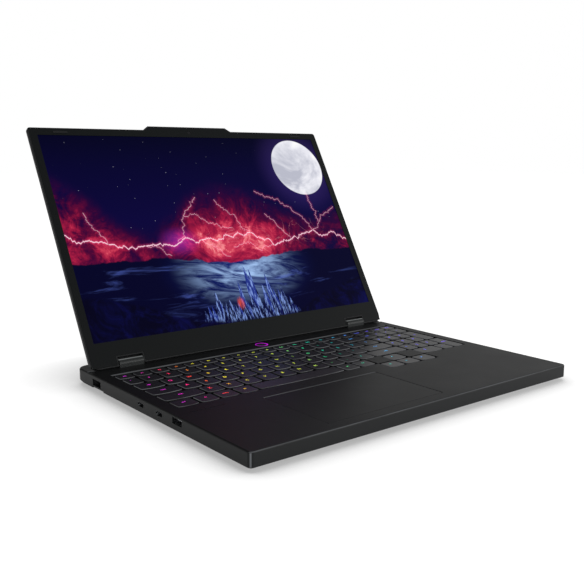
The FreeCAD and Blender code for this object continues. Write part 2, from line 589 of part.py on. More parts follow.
def bottom_screws():
    members = []
    for index, (x, y) in enumerate(SCREWS, start=1):
        screw = new_body(f"screw_{index}")
        pad(screw, "XY_Plane", "cover_bottom + head_inset", [("0", "0", "head_radius")], "head_height")
        pad(screw, "XY_Plane", "cover_bottom + head_inset", [("0", "0", "shank_radius")], "screw_reach")
        pocket(screw, "XY_Plane", "cover_bottom", [("0", "0", "drive_radius")], "drive_depth + head_inset")
        screw.setExpression("Placement.Base.x", str(x))
        screw.setExpression("Placement.Base.y", formula(from_front(y)))
        members.append(screw)
    return group("bottom_screws", members)


def keyboard_backplate():
    body = new_body("keyboard_backplate")
    pad(body, "XY_Plane", "well_floor - plate_thickness", [plate_outline("frame_margin")], "plate_thickness")
    pocket(body, "XY_Plane", "well_floor - 2", [placed("-170", "-153.4", "202.2", "220")], "5")
    return node(body, "keyboard_backplate")


def touchpad_outline(margin):
    """The touchpad's rectangle, grown by a margin."""
    front = from_front("touchpad_front")
    return rectangle(f"touchpad_left - ({margin})", f"touchpad_left + touchpad_width + ({margin})",
                     f"{front} - ({margin})", f"{front} + touchpad_depth + ({margin})")


def touchpad():
    body = new_body("touchpad")
    bottom = DIMENSIONS["touchpad_top"] - DIMENSIONS["touchpad_thickness"]
    pad(body, "XY_Plane", "touchpad_top - touchpad_thickness", [touchpad_outline("0")], "touchpad_thickness")
    soften(body, "Fillet", "touchpad_corner", lambda box: upright(box, bottom))
    soften(body, "Chamfer", "touchpad_edge", lambda box: level_with(box, DIMENSIONS["touchpad_top"]))
    return node(body, "touchpad")


def power_button():
    """A round button on a flange, and the light ring round it."""
    centre = ("button_x", from_front("button_y"))
    flange_top = "button_flange_bottom + button_flange"
    button = new_body("power_button")
    pad(button, "XY_Plane", "button_flange_bottom", [(*centre, "ring_outer")], "button_flange")
    pad(button, "XY_Plane", flange_top, [(*centre, "button_radius")], "button_height")
    top = number_of(f"{flange_top} + button_height")
    soften(button, "Fillet", "button_edge", lambda box: level_with(box, top))
    node(button, "power_button")
    ring = new_body("power_button_ring")
    pad(ring, "XY_Plane", "ring_bottom", [(*centre, "ring_outer"), (*centre, "ring_inner")], "ring_height")
    return node(ring, "power_button_ring")


# ---------------------------------------------------------------- inside the case

def block(label, outline, low, height, corner=None):
    body = new_body(label)
    pad(body, "XY_Plane", low, [outline], height)
    if corner:
        bottom = number_of(low)
        soften(body, "Fillet", corner, lambda box: upright(box, bottom))
    return body


def placed(x_low, x_high, y_low, y_high):
    """A rectangle whose Y values are measured from the front edge."""
    return rectangle(x_low, x_high, from_front(y_low), from_front(y_high))


BOARD_CORNERS = ((-158, 100), (158, 100), (158, 156), (44, 156), (44, 222), (-44, 222), (-44, 156),
                 (-158, 156))
CHIPS = {  # left, right, front, back, bottom, height, corner
    "processor": (-42, -8, 117, 151, 5.8, 1.6, 1),
    "graphics_chip": (2, 42, 114, 154, 5.8, 1.6, 1),
    "ssd_module": (-150, -70, 106, 128, 6.4, 2.6, 0.6),
    "memory_inner": (52, 121.6, 104, 126, 6.2, 3.4, 0.6),
    "memory_outer": (52, 121.6, 128, 150, 6.2, 3.4, 0.6),
    "wireless_card": (-150, -120, 132, 154, 6.4, 2.2, 0.6),
    "battery_pack": (-148, 148, 16, 93, 3.7, 5.8, 3),
    "speaker_left": (-169, -152, 18, 58, 3.8, 6.4, 2),
    "speaker_right": (152, 169, 18, 58, 3.8, 6.4, 2),
}
BOARD_BOTTOM, BOARD_THICKNESS = "4.6", "1.2"
CELL_SEAMS = (-75, -1, 73)
CONE_X, CONE_Y, CONE_RADIUS = 160.5, "35", "6"


def chip(label):
    """A block from the table above."""
    left, right, front, back, bottom, height, corner = CHIPS[label]
    return block(label, placed(left, right, front, back), str(bottom), str(height), str(corner))


def motherboard():
    outline = [(str(x), from_front(y)) for x, y in BOARD_CORNERS]
    node(block("motherboard", outline, BOARD_BOTTOM, BOARD_THICKNESS, "2"), "motherboard")
    group("processor_packages", [chip("processor"), chip("graphics_chip")])
    node(chip("ssd_module"), "ssd_module")
    group("memory_modules", [chip("memory_inner"), chip("memory_outer")])
    node(chip("wireless_card"), "wireless_card")


def battery_pack():
    """Four flat cells in one frame, with a seam between each two."""
    body = chip("battery_pack")
    for x in CELL_SEAMS:
        pocket(body, "XY_Plane", "9.0", [placed(x, x + 2, "19", "90")], "2")
    node(body, "battery_pack")


def speakers():
    members = []
    for side, sign in SIDES.items():
        body = chip("speaker_" + side)
        cone = (f"{sign * CONE_X}", from_front(CONE_Y), CONE_RADIUS)
        pocket(body, "XY_Plane", "3.4", [cone], "1.4")
        members.append(body)
    group("speakers", members)


def heat_pipes():
    """One long pipe between the fin stacks, with two legs that reach forward over the chips."""
    end, back, bend, chips = 116, 232.2, 224.4, 118
    leg_in, leg_out = 16, 30
    half = ((leg_in, bend), (leg_in, chips), (leg_out, chips), (leg_out, bend), (end, bend), (end, back))
    corners = half + tuple((-x, y) for x, y in reversed(half))
    body = block("heat_pipes", [(str(x), from_front(y)) for x, y in corners], "7.4", "2", "3.5")
    node(body, "heat_pipes")


FIN_COUNT, FIN_PITCH, FIN_LENGTH = 33, "2.05", "66"


def heatsink_fins():
    """A thin base with upright fins, one stack behind each rear grille."""
    members = []
    for side, low in (("left", "-116"), ("right", "50")):
        body = new_body("fins_" + side)
        pad(body, "XY_Plane", "7.6", [placed(low, f"{low} + {FIN_LENGTH}", "232.5", "249")], "0.4")
        fin = pad(body, "XY_Plane", "7.8", [placed(low, f"{low} + 0.4", "232.5", "249")], "4.2")
        repeat(body, fin, "X_Axis", FIN_PITCH, FIN_COUNT)
        members.append(body)
    group("heatsink_fins", members)


HOUSING_X, HOUSING_Y, HOUSING_BOTTOM, HOUSING_HEIGHT = 36, 31, "3.7", "6.4"
ROOM_RADIUS, INTAKE_RADIUS, POST_RADIUS, OUTLET_HALF = "29", "21", "1.5", 26
HUB_RADIUS, BLADES = "12", 29


def fans():
    """Each fan: a housing open below and towards the fins, a post, and a rotor on the post."""
    for side, sign in SIDES.items():
        x, y = f"({sign * FAN_X})", from_front(FAN_Y)
        outline = rectangle(f"{x} - {HOUSING_X}", f"{x} + {HOUSING_X}",
                            f"{y} - {HOUSING_Y}", f"{y} + {HOUSING_Y}")
        outlet = rectangle(f"{x} - {OUTLET_HALF}", f"{x} + {OUTLET_HALF}",
                           f"{y} + 5", f"{y} + {HOUSING_Y + 1}")
        housing = block("fan_housing_" + side, outline, HOUSING_BOTTOM, HOUSING_HEIGHT, "6")
        pocket(housing, "XY_Plane", "4.5", [(x, y, ROOM_RADIUS)], "4.8")
        pocket(housing, "XY_Plane", "3", [(x, y, INTAKE_RADIUS)], "2")
        pocket(housing, "XY_Plane", "4.5", [outlet], "4.8")
        pad(housing, "XY_Plane", "5.2", [(x, y, POST_RADIUS)], "4.4")
        node(housing, "fan_housing_" + side)
        fan_rotor(side, x, y)


def fan_rotor(side, x, y):
    """A hub with a bore and a ring of slanted blades."""
    rotor = new_body("fan_rotor_" + side)
    pad(rotor, "XY_Plane", "5", [("0", "0", HUB_RADIUS)], "4")
    outline = [("11.2", "-0.4"), ("27", "4.6"), ("27", "5.4"), ("11.2", "0.4")]
    blade = pad(rotor, "XY_Plane", "5.2", [outline], "3.6")
    axis = next(item for item in rotor.Origin.OriginFeatures if item.Role == "Z_Axis")
    ring = rotor.newObject("PartDesign::PolarPattern", rotor.Name + "_ring")
    ring.Originals = [blade]
    ring.Axis = (axis, [""])
    ring.Angle = 360
    ring.Occurrences = BLADES
    rotor.Tip = ring
    doc.recompute()
    pocket(rotor, "XY_Plane", "4", [("0", "0", "1.56")], "6")
    rotor.setExpression("Placement.Base.x", formula(x))
    rotor.setExpression("Placement.Base.y", formula(y))
    node(rotor, "fan_rotor_" + side)


# ---------------------------------------------------------------- sockets

def grown(hole, margin):
    """A rectangle from four limits, each moved outwards by a margin."""
    x_low, x_high, y_low, y_high = hole
    return rectangle(f"{x_low} - ({margin})", f"{x_high} + ({margin})",
                     f"{y_low} - ({margin})", f"{y_high} + ({margin})")


def tongue_in(hole, side, low, high):
    """The contact tongue's limits inside an opening, by its distance from the sides, bottom and top."""
    x_low, x_high, y_low, y_high = hole
    return rectangle(f"{x_low} + {side}", f"{x_high} - {side}", f"{y_low} + {low}", f"{y_high} - {high}")


def socket(label, plane, mouth, inward, hole, tongue, depth):
    """A metal shell behind an opening in the wall, closed at the back, with a contact tongue."""
    body = new_body(label)
    backwards = inward < 0
    base = f"{mouth} - ({depth})" if backwards else mouth
    pad(body, plane, base, [grown(hole, "socket_skin - socket_lip")], depth)
    pocket(body, plane, f"{base} + 1" if backwards else f"{base} - 1", [grown(hole, "-socket_lip")], depth)
    pad(body, plane, f"{base} + 0.5" if backwards else f"{base} + 1", [tongue], f"{depth} - 1.5")
    return body


def usb_a_ports():
    side_mouth, rear_mouth = "(case_width / 2 - wall)", "(-" + from_front("case_depth - wall") + ")"
    side_tongue = tongue_in(USB_A_SIDE, "1.6", "2.8", "0.7")
    rear_tongue = tongue_in(USB_A_REAR, "1.6", "2.8", "0.7")
    group("usb_a_ports", [
        socket("usb_a_left", "YZ_Plane", f"(-{side_mouth})", 1, USB_A_SIDE, side_tongue, "socket_depth"),
        socket("usb_a_right", "YZ_Plane", side_mouth, -1, USB_A_SIDE, side_tongue, "socket_depth"),
        socket("usb_a_back", "XZ_Plane", rear_mouth, 1, USB_A_REAR, rear_tongue, "socket_depth")])


def usb_c_ports():
    mouth = "-(case_width / 2 - wall)"
    members = []
    for name, hole in USB_C_HOLES.items():
        body = new_body("usb_c_" + name)
        pad(body, "YZ_Plane", mouth, [grown(hole, "0.25")], "usb_c_depth")
        soften(body, "Fillet", "usb_c_corner", lambda box: box.XLength > 5)
        oval_pocket(body, "YZ_Plane", f"{mouth} - 1", *hole, "usb_c_depth + 0.2")
        pad(body, "YZ_Plane", f"{mouth} + 1", [tongue_in(hole, "1.3", "1.25", "1.25")], "usb_c_depth - 1.6")
        members.append(body)
    group("usb_c_ports", members)


def rear_ports():
    mouth = "(-" + from_front("case_depth - wall") + ")"
    for label, hole, side, above, depth in (("hdmi_port", HDMI_HOLE, "2", "1.8", "11"),
                                            ("power_inlet", POWER_HOLE, "2.2", "1.6", "12")):
        tongue = tongue_in(hole, side, above, above)
        node(socket(label, "XZ_Plane", mouth, 1, hole, tongue, depth), label)


def audio_jack():
    """A plastic block with a collar that fills the hole in the wall, and the plug's bore."""
    body = new_body("audio_jack")
    y, z, inside = from_front("jack_y"), "jack_z", "(case_width / 2 - wall)"
    outline = rectangle(f"{y} - jack_half", f"{y} + jack_half", "jack_z - jack_half", "jack_z + jack_half")
    pad(body, "YZ_Plane", f"{inside} - jack_length", [outline], "jack_length")
    pad(body, "YZ_Plane", inside, [(y, z, "jack_collar")], "wall - 0.1")
    bore_end = f"{inside} - jack_length + jack_bottom"
    pocket(body, "YZ_Plane", bore_end, [(y, z, "jack_bore")], "jack_length + wall")
    node(body, "audio_jack")


def camera_switch():
    """The shutter slider, which moves along the right wall: a plate behind the slot and a knob in it."""
    body = new_body("camera_switch")
    inside = "(case_width / 2 - wall)"
    knob_y = from_front("switch_y + 0.4")
    plate = rectangle(f"{knob_y} - 1.4", f"{knob_y} + switch_knob + 2", "switch_slot_bottom - 0.6",
                      "switch_slot_bottom + switch_slot_height + 0.6")
    knob = box_from(knob_y, "switch_knob", "switch_knob_bottom", "switch_knob_height")
    pad(body, "YZ_Plane", f"{inside} - 1.6", [plate], "1.2")
    pad(body, "YZ_Plane", f"{inside} - 0.8", [knob], "wall + 0.8 - switch_recess")
    node(body, "camera_switch")


def ethernet_jack():
    """A network socket whose lower side is a jaw that drops to take the plug."""
    mouth = "-(case_width / 2 - wall)"
    body = new_body("ethernet_jack")
    shell = rectangle(from_front("jaw_y - 0.7"), from_front("plug_y + plug_width + 1.9"), "jaw_bottom - 0.1",
                      "plug_bottom + plug_height - socket_lip")
    inner = rectangle(from_front("plug_y + socket_lip"), from_front("plug_y + plug_width - socket_lip"),
                      "plug_bottom - 0.4", "plug_bottom + plug_height - 0.7")
    jaw_room = rectangle(from_front("jaw_y - socket_lip"), from_front("jaw_y + jaw_width + 0.4"),
                         "jaw_bottom - 1.3", "plug_bottom")
    pad(body, "YZ_Plane", mouth, [shell], "jaw_depth + 1.8")
    pocket(body, "YZ_Plane", f"{mouth} - 1", [inner], "jaw_depth - 0.2")
    pocket(body, "YZ_Plane", f"{mouth} - 1", [jaw_room], "jaw_depth + 1.8")
    node(body, "ethernet_jack")
    jaw = new_body("ethernet_jaw")
    outer = "-(case_width / 2 - 0.2)"
    plate = box_from(from_front("jaw_y"), "jaw_width", "jaw_bottom", "jaw_top - jaw_bottom")
    scoop = rectangle(from_front("plug_y + 0.7"), from_front("plug_y + plug_width - 0.7"), "jaw_top - 0.4",
                      "jaw_top + 2")
    pad(jaw, "YZ_Plane", outer, [plate], "jaw_depth")
    pocket(jaw, "YZ_Plane", f"{outer} + 1.4", [scoop], "jaw_depth - 4.2")
    node(jaw, "ethernet_jaw")


# ---------------------------------------------------------------- hinges

def hinge_x(sign, inner, outer):
    """The lower X of a stretch between two distances from the middle, and its length."""
    low = inner if sign > 0 else f"(-({outer}))"
    return low, f"{outer} - {inner}"


def hinge_cover(side, sign):
    """A hollow half-round cap that stands on the deck over the hinge knuckle."""
    axis_y, axis_z = from_front("hinge_y"), "hinge_z"
    low, length = hinge_x(sign, "hinge_inner_x", "hinge_outer_x")
    cut, cut_length = f"{low} - 1", f"{length} + 2"
    cover = new_body("hinge_cover_" + side)
    skirt = rectangle(f"{axis_y} - cap_outer", f"{axis_y} + cap_outer", "deck_top", axis_z)
    below = rectangle(f"{axis_y} - cap_outer - 1", f"{axis_y} + cap_outer + 1", "deck_top - 3", "deck_top")
    inner = rectangle(f"{axis_y} - cap_inner", f"{axis_y} + cap_inner", "deck_top - 1", axis_z)
    pad(cover, "YZ_Plane", low, [(axis_y, axis_z, "cap_outer")], length)
    pad(cover, "YZ_Plane", low, [skirt], length)
    pocket(cover, "YZ_Plane", cut, [below], cut_length)
    pocket(cover, "YZ_Plane", cut, [(axis_y, axis_z, "cap_inner")], cut_length)
    pocket(cover, "YZ_Plane", cut, [inner], cut_length)
    return cover


def hinge_bracket(side, sign):
    """The knuckle, its web and the foot that is fixed inside the case."""
    axis_y, axis_z = from_front("hinge_y"), "hinge_z"
    low, length = hinge_x(sign, "(hinge_inner_x + knuckle_inset)", "(hinge_outer_x - knuckle_inset)")
    web = rectangle(f"{axis_y} - bracket_web", f"{axis_y} + bracket_web", "bracket_bottom", axis_z)
    foot = rectangle(f"{axis_y} - bracket_front", f"{axis_y} + bracket_back", "bracket_bottom",
                     "bracket_bottom + bracket_thickness")
    bracket = new_body("hinge_bracket_" + side)
    pad(bracket, "YZ_Plane", low, [(axis_y, axis_z, "knuckle_radius")], length)
    pad(bracket, "YZ_Plane", low, [web], length)
    pad(bracket, "YZ_Plane", low, [foot], length)
    pocket(bracket, "YZ_Plane", f"{low} - 1", [(axis_y, axis_z, "knuckle_bore")], f"{length} + 2")
    return bracket


def hinge_pin(side, sign):
    low, length = hinge_x(sign, "pin_inner_x", "pin_outer_x")
    pin = new_body("hinge_pin_" + side)
    pad(pin, "YZ_Plane", low, [("0", "0", "pin_radius")], length)
    return pin


def hinge_arm(side, sign):
    """The eye round the pin and the strap that holds the lid."""
    low, length = hinge_x(sign, "(pin_inner_x - 1)", "(hinge_inner_x - hinge_gap - lid_wall - 0.3)")
    arm = new_body("hinge_arm_" + side)
    pad(arm, "YZ_Plane", low, [rectangle("arm_front", "arm_back", "arm_low", "arm_eye_top")], length)
    pad(arm, "YZ_Plane", low, [rectangle("arm_face", "arm_back", "arm_eye_top - 0.1", "arm_top")], length)
    pocket(arm, "YZ_Plane", f"{low} - 1", [("0", "0", "pin_radius")], f"{length} + 2")
    return arm


def hinges():
    sides = SIDES.items()
    group("hinge_covers", [hinge_cover(*side) for side in sides])
    group("hinge_base_brackets", [hinge_bracket(*side) for side in sides])
    lean(group("hinge_pins", [hinge_pin(*side) for side in sides]))
    lean(group("hinge_lid_arms", [hinge_arm(*side) for side in sides]))


# ---------------------------------------------------------------- lid

def lid_outline(inset, notch_inset):
    """The lid from the front: two hinge notches below, the camera bump on top."""
    half = f"(lid_width / 2 - ({inset}))"
    low, high = f"(lid_bottom + ({inset}))", f"(lid_top - ({inset}))"
    notch_near = f"(hinge_inner_x - hinge_gap - ({notch_inset}))"
    notch_far = f"(hinge_outer_x + hinge_gap + ({notch_inset}))"
    notch_high = f"(notch_top + ({notch_inset}))"
    foot, head = f"(bump_foot - ({inset}))", f"(bump_head - ({inset}))"
    right = [(notch_near, low), (notch_near, notch_high), (notch_far, notch_high), (notch_far, low),
             (half, low), (half, high), (foot, high), (head, f"{high} + bump_height")]
    left = [(f"-{x}", z) for x, z in reversed(right)]
    return right + left


def round_lid_corners(body):
    half = DIMENSIONS["lid_width"] / 2
    for radius, end in (("lid_low_corner", "lid_bottom"), ("lid_high_corner", "lid_top")):
        z = DIMENSIONS[end]
        soften(body, "Fillet", radius,
               lambda box, z=z: box.XLength < 1e-3 and box.ZLength < 1e-3 and abs(abs(box.XMin) - half) < 2.5
               and abs(box.ZMin - z) < 2.5)


def lid_cover():
    """The back shell of the lid, with a rim round the bezel and walls round the hinge notches."""
    body = new_body("lid_cover")
    pad(body, "XZ_Plane", "-lid_back", [lid_outline("0", "0")], "lid_back - lid_front")
    round_lid_corners(body)
    back, front, bottom = DIMENSIONS["lid_back"], DIMENSIONS["lid_front"], DIMENSIONS["lid_bottom"]
    top, half = DIMENSIONS["lid_top"], DIMENSIONS["lid_width"] / 2

    def lies_at(box, y):
        return abs(box.YMin - y) < 1e-3 and box.YLength < 1e-3

    soften(body, "Fillet", "lid_back_round",
           lambda box: lies_at(box, back) and box.ZLength < 1e-3 and abs(box.ZMin - bottom) < 1e-3)
    soften(body, "Fillet", "lid_front_round",
           lambda box: lies_at(box, front) and box.ZLength < 1e-3 and abs(box.ZMin - bottom) < 1e-3)
    soften(body, "Chamfer", "lid_back_chamfer",
           lambda box: lies_at(box, back) and box.ZMax > top - 4 and box.ZMin > half / 2)
    pocket(body, "XZ_Plane", "-lid_back + lid_wall", [lid_outline("lid_wall", "lid_wall")], "lid_back + 6")
    for sign in SIDES.values():
        low, length = hinge_x(sign, "(hinge_inner_x - hinge_gap - 0.1)", "(hinge_outer_x + hinge_gap + 0.1)")
        lip = box_from(low, length, "notch_lip", "notch_top - notch_lip + 0.1")
        pad(body, "XZ_Plane", "-lid_back", [lip], "lid_wall")
        low, length = hinge_x(sign, "pin_inner_x", "pin_outer_x")
        pocket(body, "YZ_Plane", low, [("0", "0", "pin_radius")], length)
    return lean(node(body, "lid_cover"))


def lid_bezel():
    body = new_body("lid_bezel")
    inset = "lid_wall + bezel_gap"
    pad(body, "XZ_Plane", "-lid_front - bezel_thickness", [lid_outline(inset, inset)], "bezel_thickness")
    pocket(body, "XZ_Plane", "-lid_front - bezel_thickness - 1",
           [box_from("-screen_width / 2", "screen_width", "screen_bottom", "screen_height")], "5")
    pocket(body, "XZ_Plane", "-lid_front - bezel_thickness - 1", [("0", "camera_height", "camera_hole")], "5")
    return lean(node(body, "lid_bezel"))


def display_panel():
    body = new_body("display_panel")
    edge = "panel_overlap"
    back = box_from(f"-screen_width / 2 - {edge}", f"screen_width + 2 * {edge}",
                    f"(screen_bottom - {edge})", f"screen_height + 2 * {edge}")
    pad(body, "XZ_Plane", "-panel_back", [back], "panel_back - panel_front")
    glass = box_from("-screen_width / 2 + screen_gap", "screen_width - 2 * screen_gap",
                     "(screen_bottom + screen_gap)", "screen_height - 2 * screen_gap")
    pad(body, "XZ_Plane", "-panel_front", [glass], "panel_front - screen_front")
    return lean(node(body, "display_panel"))


def camera_module():
    body = new_body("camera_module")
    circuit = rectangle("-camera_board_half", "camera_board_half", "camera_board_low", "camera_board_high")
    pad(body, "XZ_Plane", "-camera_board_back", [circuit], "camera_board_back - panel_front")
    pad(body, "XZ_Plane", "-panel_front", [("0", "camera_height", "lens_radius")], "lens_length")
    return lean(node(body, "camera_module"))


def lid_bumpers():
    """Two thin strips that keep the closed lid off the palm rest."""
    members = []
    for side, sign in SIDES.items():
        body = new_body("bumper_" + side)
        low = f"{sign} * bumper_x - bumper_length / 2"
        strip = box_from(low, "bumper_length", "bumper_z", "bumper_width")
        pad(body, "XZ_Plane", "-lid_front", [strip], "bumper_height")
        members.append(body)
    return lean(group("lid_bumpers", members))


# ---------------------------------------------------------------- build, check, write

def check_document():
    for item in doc.Objects:
        if "Invalid" in item.State or "Error" in item.State:
            raise RuntimeError(f"{item.Label} did not compute: {item.State}")
    for made in NODES:
        if made.Shape.isNull() or not made.Shape.isValid() or not made.Shape.Solids:
            raise RuntimeError(f"{made.Label} has no valid solid")


base_top_case()
base_bottom_cover()
rubber_feet()
bottom_screws()
keyboard_backplate()
keys()
touchpad()
power_button()
motherboard()
battery_pack()
speakers()
heat_pipes()
heatsink_fins()
fans()
usb_a_ports()
usb_c_ports()
rear_ports()
audio_jack()
camera_switch()
ethernet_jack()
hinges()
lid_cover()
lid_bezel()
display_panel()
camera_module()
lid_bumpers()
doc.recompute()
check_document()
os.makedirs("parts", exist_ok=True)
for made in NODES:
    made.Shape.exportStep(f"parts/{made.Label}.step")
    box = made.Shape.BoundBox
    limits = [f"{low:.1f} to {high:.1f}" for low, high in ((box.XMin, box.XMax), (box.YMin, box.YMax),
                                                           (box.ZMin, box.ZMax))]
    print(f"{made.Label}: {len(made.Shape.Solids)} solids, {made.Shape.Volume:.0f} mm3, {', '.join(limits)}")
print(len(NODES), "nodes")
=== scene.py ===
import json
import math

import bmesh
import bpy
from mathutils import Matrix, Vector


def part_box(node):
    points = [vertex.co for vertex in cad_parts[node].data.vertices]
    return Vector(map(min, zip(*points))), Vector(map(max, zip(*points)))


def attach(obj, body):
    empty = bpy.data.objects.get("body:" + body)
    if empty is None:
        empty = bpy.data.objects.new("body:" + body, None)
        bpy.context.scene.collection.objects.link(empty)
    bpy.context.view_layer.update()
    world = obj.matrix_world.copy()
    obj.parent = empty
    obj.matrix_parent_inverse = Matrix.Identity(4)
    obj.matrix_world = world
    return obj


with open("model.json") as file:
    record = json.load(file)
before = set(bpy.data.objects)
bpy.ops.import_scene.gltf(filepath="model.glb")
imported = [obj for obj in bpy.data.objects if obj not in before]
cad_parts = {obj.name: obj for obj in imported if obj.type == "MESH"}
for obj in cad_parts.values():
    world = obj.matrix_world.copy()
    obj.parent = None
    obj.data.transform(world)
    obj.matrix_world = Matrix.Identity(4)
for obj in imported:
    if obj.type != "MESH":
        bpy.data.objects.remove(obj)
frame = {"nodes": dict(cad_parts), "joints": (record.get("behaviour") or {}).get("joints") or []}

# Laptop computer: materials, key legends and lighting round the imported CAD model.
# Metres.  X runs left to right, Y from the user to the back, Z up.

MM = 0.001
LID_TILT = math.radians(30.2)
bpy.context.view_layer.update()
joints = {joint["name"]: joint for joint in frame["joints"]}
HINGE = Vector(joints["lid_hinge"]["pos_m"])
LID_UP = Vector((0, math.sin(LID_TILT), math.cos(LID_TILT)))


# ---------------------------------------------------------------- camera and stage

CAMERA_PLACE = (-0.45226, -0.56232, 0.19922)
CAMERA_YAW = math.radians(38.98)
CAMERA_PITCH = math.radians(9.946)
CAMERA_ROLL = math.radians(0.38)
CAMERA_LENS = 49.82

# A white room with a dim ceiling, brightest in front: light by the sine of the height above the horizon
WALL_LIGHT = 0.9
CEILING_LIGHT = 0.12
CEILING_START = 0.25
CEILING_FULL = 0.85
BRIGHT_SIDE = (0.35, -0.94, 0)
DARK_SIDE_LIGHT = 0.35
BRIGHT_SIDE_LIGHT = 1.8
# The floor reaches this far each way. It glows, so that it stays white, and less in the shade of the case
FLOOR_REACH = 6.0
FLOOR_GLOW = 0.95
SHADE_GLOW = 0.37
SHADE_REACH = 0.10


def add_camera():
    data = bpy.data.cameras.new("camera")
    data.lens = CAMERA_LENS
    data.clip_start = 0.01
    data.clip_end = 50
    camera = bpy.data.objects.new("camera", data)
    bpy.context.scene.collection.objects.link(camera)
    turn = Matrix.Rotation(-CAMERA_YAW, 4, "Z") @ Matrix.Rotation(math.pi / 2 - CAMERA_PITCH, 4, "X")
    camera.matrix_world = Matrix.Translation(CAMERA_PLACE) @ turn @ Matrix.Rotation(CAMERA_ROLL, 4, "Z")
    bpy.context.scene.camera = camera


def add_area(name, place, target, size, power):
    data = bpy.data.lights.new(name, "AREA")
    data.shape = "RECTANGLE"
    data.size, data.size_y = size
    data.energy = power
    light = bpy.data.objects.new(name, data)
    light.location = place
    light.rotation_euler = (Vector(target) - Vector(place)).to_track_quat("-Z", "Y").to_euler()
    bpy.context.scene.collection.objects.link(light)


def add_world():
    world = bpy.data.worlds.new("studio")
    world.use_nodes = True
    room = Nodes(world.node_tree)
    direction = room.add("ShaderNodeTexCoord").outputs["Generated"]
    height = room.span(room.separate(direction)[2], CEILING_START, CEILING_FULL, WALL_LIGHT, CEILING_LIGHT)
    facing = room.add("ShaderNodeVectorMath", operation="DOT_PRODUCT")
    facing.inputs[1].default_value = BRIGHT_SIDE
    room.feed(facing.inputs[0], direction)
    side = room.span(facing.outputs["Value"], -1, 1, DARK_SIDE_LIGHT, BRIGHT_SIDE_LIGHT)
    seen = room.add("ShaderNodeLightPath").outputs["Is Camera Ray"]
    background = room.nodes["Background"]
    background.inputs["Color"].default_value = (1, 1, 1, 1)
    room.feed(background.inputs["Strength"], room.math("MAXIMUM", seen, room.times(height, side)))
    bpy.context.scene.world = world


def add_floor():
    mesh = bpy.data.meshes.new("floor")
    shape = bmesh.new()
    corners = [shape.verts.new((x * FLOOR_REACH, y * FLOOR_REACH, 0))
               for x, y in ((-1, -1), (1, -1), (1, 1), (-1, 1))]
    shape.faces.new(corners)
    shape.to_mesh(mesh)
    shape.free()
    floor = bpy.data.objects.new("floor", mesh)
    bpy.context.scene.collection.objects.link(floor)
    paint = Shader("floor_paint")
    paint.set(Base_Color=(0.27, 0.27, 0.27, 1), Roughness=0.9, Emission_Color=(1, 1, 1, 1))
    # painted shadow: the floor's glow is dimmed by ambient occlusion close to the case
    nearness = paint.add("ShaderNodeAmbientOcclusion", samples=8)
    nearness.inputs["Distance"].default_value = SHADE_REACH
    paint.set(Emission_Strength=paint.span(nearness.outputs["AO"], 0.5, 1.0, SHADE_GLOW, FLOOR_GLOW,
                                           smooth=False))
    mesh.materials.append(paint.material)


# ---------------------------------------------------------------- shader helper

def srgb(red, green, blue):
    """A linear colour from 0-255 screen values."""
    def linear(value):
        value /= 255
        return value / 12.92 if value <= 0.04045 else ((value + 0.055) / 1.055) ** 2.4
    return (linear(red), linear(green), linear(blue), 1)


class Nodes:
    """Short methods for adding nodes to a tree. A value may be a number, a colour or a socket."""

    def __init__(self, tree):
        self.nodes = tree.nodes
        self.links = tree.links

    def add(self, kind, **settings):
        node = self.nodes.new(kind)
        for key, value in settings.items():
            setattr(node, key, value)
        return node

    def feed(self, socket, value):
        if isinstance(value, bpy.types.NodeSocket):
            self.links.new(value, socket)
        else:
            socket.default_value = value

    def math(self, operation, *values):
        node = self.add("ShaderNodeMath", operation=operation)
        for socket, value in zip(node.inputs, values):
            self.feed(socket, value)
        return node.outputs[0]

    def total(self, *values):
        result = values[0]
        for value in values[1:]:
            result = self.math("ADD", result, value)
        return result

    def times(self, *values):
        result = values[0]
        for value in values[1:]:
            result = self.math("MULTIPLY", result, value)
        return result

    def span(self, value, low, high, to_low=0.0, to_high=1.0, smooth=True):
        """Map low..high to to_low..to_high, held at the ends."""
        node = self.add("ShaderNodeMapRange", interpolation_type="SMOOTHSTEP" if smooth else "LINEAR")
        for socket, item in zip(node.inputs, (value, low, high, to_low, to_high)):
            self.feed(socket, item)
        return node.outputs[0]

    def mix(self, factor, first, second, blend="MIX"):
        node = self.add("ShaderNodeMix", data_type="RGBA", blend_type=blend)
        self.feed(node.inputs[0], factor)
        self.feed(node.inputs[6], first)
        self.feed(node.inputs[7], second)
        return node.outputs[2]

    def ramp(self, factor, stops):
        node = self.add("ShaderNodeValToRGB")
        elements = node.color_ramp.elements
        while len(elements) < len(stops):
            elements.new(0.5)
        for element, (position, colour) in zip(elements, stops):
            element.position = position
            element.color = colour
        self.feed(node.inputs[0], factor)
        return node.outputs[0]

    def separate(self, vector):
        node = self.add("ShaderNodeSeparateXYZ")
        self.feed(node.inputs[0], vector)
        return node.outputs

    def combine(self, x, y, z=0.0):
        node = self.add("ShaderNodeCombineXYZ")
        for socket, value in zip(node.inputs, (x, y, z)):
            self.feed(socket, value)
        return node.outputs[0]


